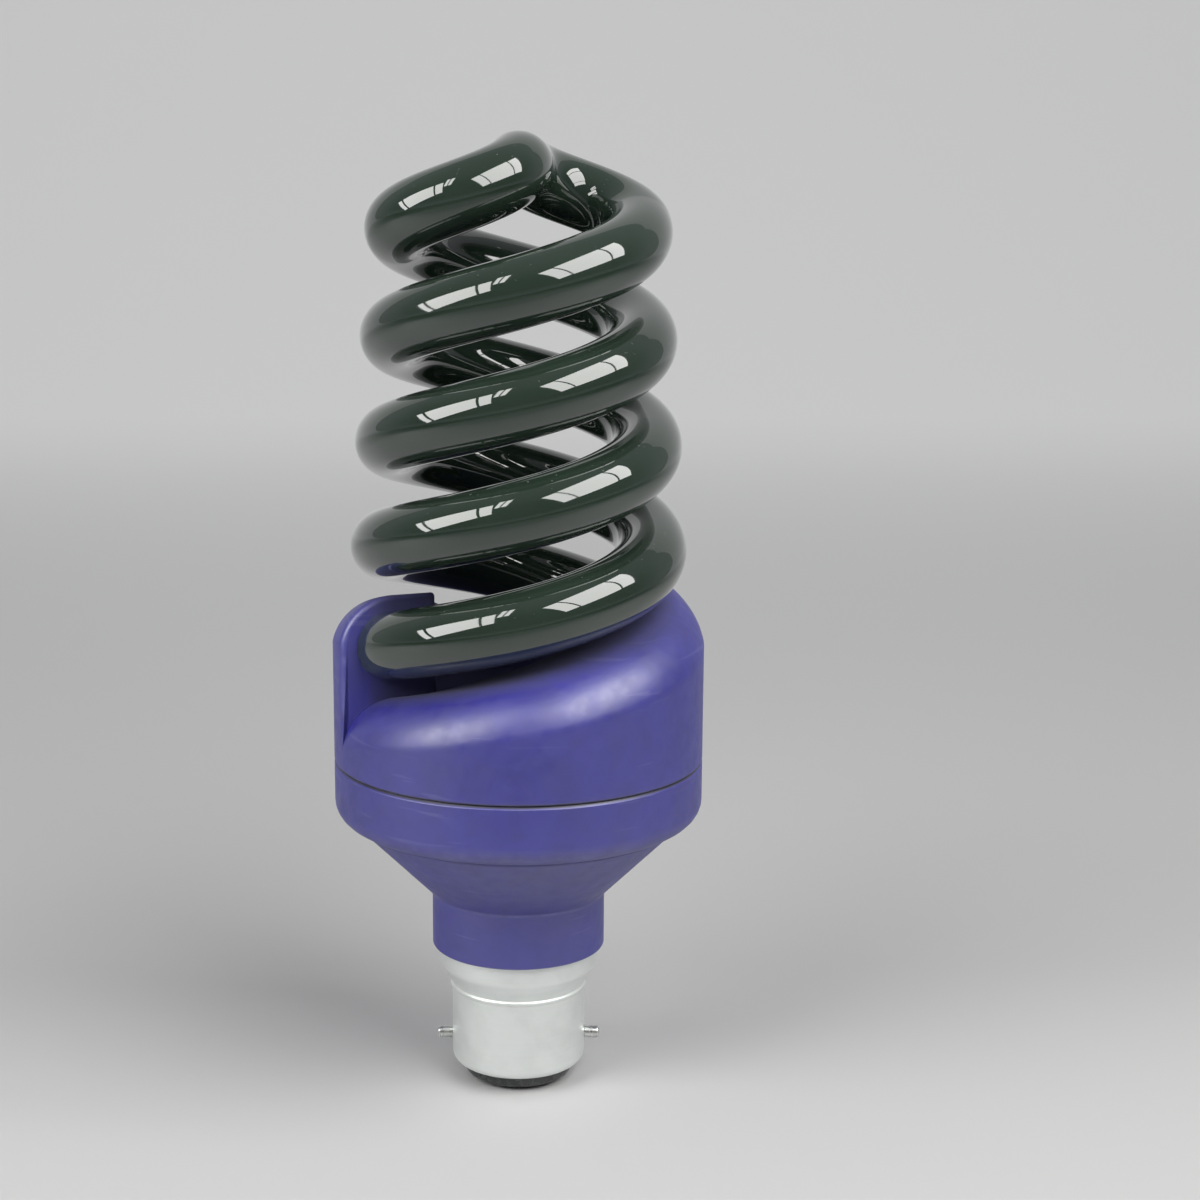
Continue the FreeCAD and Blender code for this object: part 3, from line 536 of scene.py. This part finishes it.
# Contacts: soldered pads. The face is a low dome whose height is a power of the share of the
# radius, with an uneven swell of crossed waves that fades at the edge.
pad = {"radius": 2.3, "thickness": 1.1, "offset": 4.2, "dome": 0.26, "domePower": 2.5, "uneven": 0.035,
       "sineWaves": 3, "cosineWaves": 2, "waveShift": 1.3, "fadePower": 4, "rings": 16, "segments": 80}
padAngle = anglesRound(pad["segments"])
padRadius = np.linspace(0, pad["radius"], pad["rings"])[:, None]
padShare = padRadius / pad["radius"]
for sideName, sign in (("front", -1), ("rear", 1)):
    sineWave = np.sin(pad["sineWaves"] * padAngle + pad["waveShift"] * sign)
    swell = pad["uneven"] * padShare * (1 + sineWave * np.cos(pad["cosineWaves"] * padAngle))
    padHeight = pad["dome"] * padShare ** pad["domePower"] + swell * (1 - padShare ** pad["fadePower"])
    face = np.stack([padRadius * np.cos(padAngle), sign * pad["offset"] + padRadius * np.sin(padAngle),
                     padHeight], axis=-1)
    rim = face[-1:] * np.array([1, 1, 0]) + np.array([0, 0, pad["thickness"]])
    backCentre = np.broadcast_to(np.array([0, sign * pad["offset"], pad["thickness"]]), rim.shape)
    padPiece = gridSurface("contactPad_" + sideName, np.concatenate([face, rim, backCentre]), False, True)
    standFor(padPiece, "contact_plate_" + sideName, "contact_metal")
print("pins and contacts placed")

# Floor: one sheet that runs back and sweeps up into a wall. It is darker in front. The wall glows
# only to the camera and in reflections, so it casts no light of its own. The fades are in metres.
stage = {"nearEnd": -1000, "bend": 700, "bendRadius": 500, "bendSteps": 24, "top": 1900, "halfWidth": 1800,
         "columns": 5, "drop": -0.3, "pale": (0.51, 0.51, 0.515), "front": (0.20, 0.20, 0.205),
         "frontFade": (-0.06, -0.28), "wallFade": (0.05, 0.8), "paleness": 0.40, "roughness": 0.7}
sweep = np.linspace(0, math.pi / 2, stage["bendSteps"])
floorX = np.linspace(-stage["halfWidth"], stage["halfWidth"], stage["columns"])
floorY = np.concatenate([[stage["nearEnd"]], stage["bend"] + stage["bendRadius"] * np.sin(sweep),
                         [stage["bend"] + stage["bendRadius"]]])
floorZ = np.concatenate([[0], stage["bendRadius"] * (1 - np.cos(sweep)), [stage["top"]]]) + stage["drop"]
floorPoints = np.stack(np.broadcast_arrays(floorX, floorY[:, None], floorZ[:, None]), axis=-1)
floorSheet = gridSurface("floorSheet", floorPoints, False, False)

floorFinish, floorTree, floorShader, floorCoordinates = startFinish("paleFloor")
floorDepth = axisOf(floorTree, floorCoordinates, "Y")
frontShare = spread(floorTree, floorDepth, *stage["frontFade"], 0, 1)
floorRays = addNode(floorTree, "ShaderNodeLightPath").outputs
seenRays = floorRays["Is Camera Ray"]
for kind in ("Is Glossy Ray", "Is Transmission Ray"):
    seenRays = combine(floorTree, "MAXIMUM", seenRays, floorRays[kind])
wallGlow = spread(floorTree, floorDepth, *stage["wallFade"], 0, stage["paleness"])
setInputs(floorTree, floorShader, Roughness=stage["roughness"], Emission_Color=(1, 1, 1, 1),
          Base_Color=blendColour(floorTree, frontShare, stage["pale"], stage["front"]),
          Emission_Strength=times(floorTree, seenRays, wallGlow))
floorSheet.data.materials.append(floorFinish)

# Daylight: paned windows high on either side, each pane its own soft lamp. A window runs from start
# to end, both (azimuth, elevation) in degrees seen from aim, and its panes are shares of that run.
windows = {
    "right": {"start": (19, 33), "end": (86, 42), "height": 0.33,
              "panes": ((0.0, 0.19), (0.22, 0.78), (0.81, 1.0))},
    "left": {"start": (-76, 12), "end": (-33, 40), "height": 0.26,
             "panes": ((0.0, 0.09), (0.14, 0.80), (0.84, 1.0))},
    "fanlight": {"start": (-36, 50), "end": (-25, 52), "height": 0.16,
                 "panes": ((0.0, 0.4), (0.55, 1.0))},
}
daylight = {"distance": 0.55, "aim": (0, -0.02, 0.095), "brightness": 6.8, "colour": (1.0, 0.99, 0.97)}


def direction(azimuth, elevation):
    around = math.radians(azimuth)
    above = math.radians(elevation)
    return Vector((math.sin(around) * math.cos(above), -math.cos(around) * math.cos(above), math.sin(above)))


aim = Vector(daylight["aim"])
for windowName, window in windows.items():
    start = aim + direction(*window["start"]) * daylight["distance"]
    end = aim + direction(*window["end"]) * daylight["distance"]
    run = end - start
    for number, (low, high) in enumerate(window["panes"], 1):
        middle = start + run * (low + high) / 2
        back = (middle - aim).normalized()
        sideways = (run - back * run.dot(back)).normalized()
        lamp = bpy.data.lights.new("window_%s_%d" % (windowName, number), "AREA")
        lamp.shape = "RECTANGLE"
        lamp.size = run.length * (high - low)
        lamp.size_y = window["height"]
        lamp.energy = daylight["brightness"] * math.pi * lamp.size * lamp.size_y
        lamp.color = daylight["colour"]
        facing = Matrix((sideways, back.cross(sideways), back)).transposed()
        addObject(lamp.name, lamp).matrix_world = Matrix.Translation(middle) @ facing.to_4x4()

# Room: dim in front, lighter behind, with its own level near the floor and overhead.
# The fades are shares of the direction's Y and Z, and the levels are strengths.
roomLight = {"colour": (0.92, 0.95, 1.0), "front": 0.09, "behind": 0.26, "low": 0.24, "overhead": 0.22,
             "wallFade": (-0.3, 0.3), "lowFade": (0.0, 0.08), "overheadFade": (0.6, 1.0)}
world = bpy.data.worlds.new("softRoom")
world.use_nodes = True
roomTree = world.node_tree
toRoom = addNode(roomTree, "ShaderNodeTexCoord").outputs["Generated"]
roomHeight = axisOf(roomTree, toRoom, "Z")
roomWalls = spread(roomTree, axisOf(roomTree, toRoom, "Y"), *roomLight["wallFade"], roomLight["front"],
                   roomLight["behind"])
roomSides = spread(roomTree, roomHeight, *roomLight["lowFade"], roomLight["low"], roomWalls)
setInputs(roomTree, roomTree.nodes["Background"], Color=(*roomLight["colour"], 1),
          Strength=spread(roomTree, roomHeight, *roomLight["overheadFade"], roomSides, roomLight["overhead"]))
bpy.context.scene.world = world
print("floor and daylight set")

# Camera: a little above the coil, looking down on the lamp from the front.
view = {"distance": 0.360, "height": 0.1557, "pitch": 11.75, "lens": 68.34, "sensor": 36, "shift": 0.068,
        "nearest": 0.01}
lens = bpy.data.cameras.new("viewCamera")
lens.lens = view["lens"]
lens.sensor_width = view["sensor"]
lens.shift_x = view["shift"]
lens.clip_start = view["nearest"]
camera = addObject("viewCamera", lens)
camera.location = (0, -view["distance"], view["height"])
camera.rotation_euler = (math.radians(90 - view["pitch"]), 0, 0)
bpy.context.scene.camera = camera
bpy.context.scene.view_settings.view_transform = "Standard"
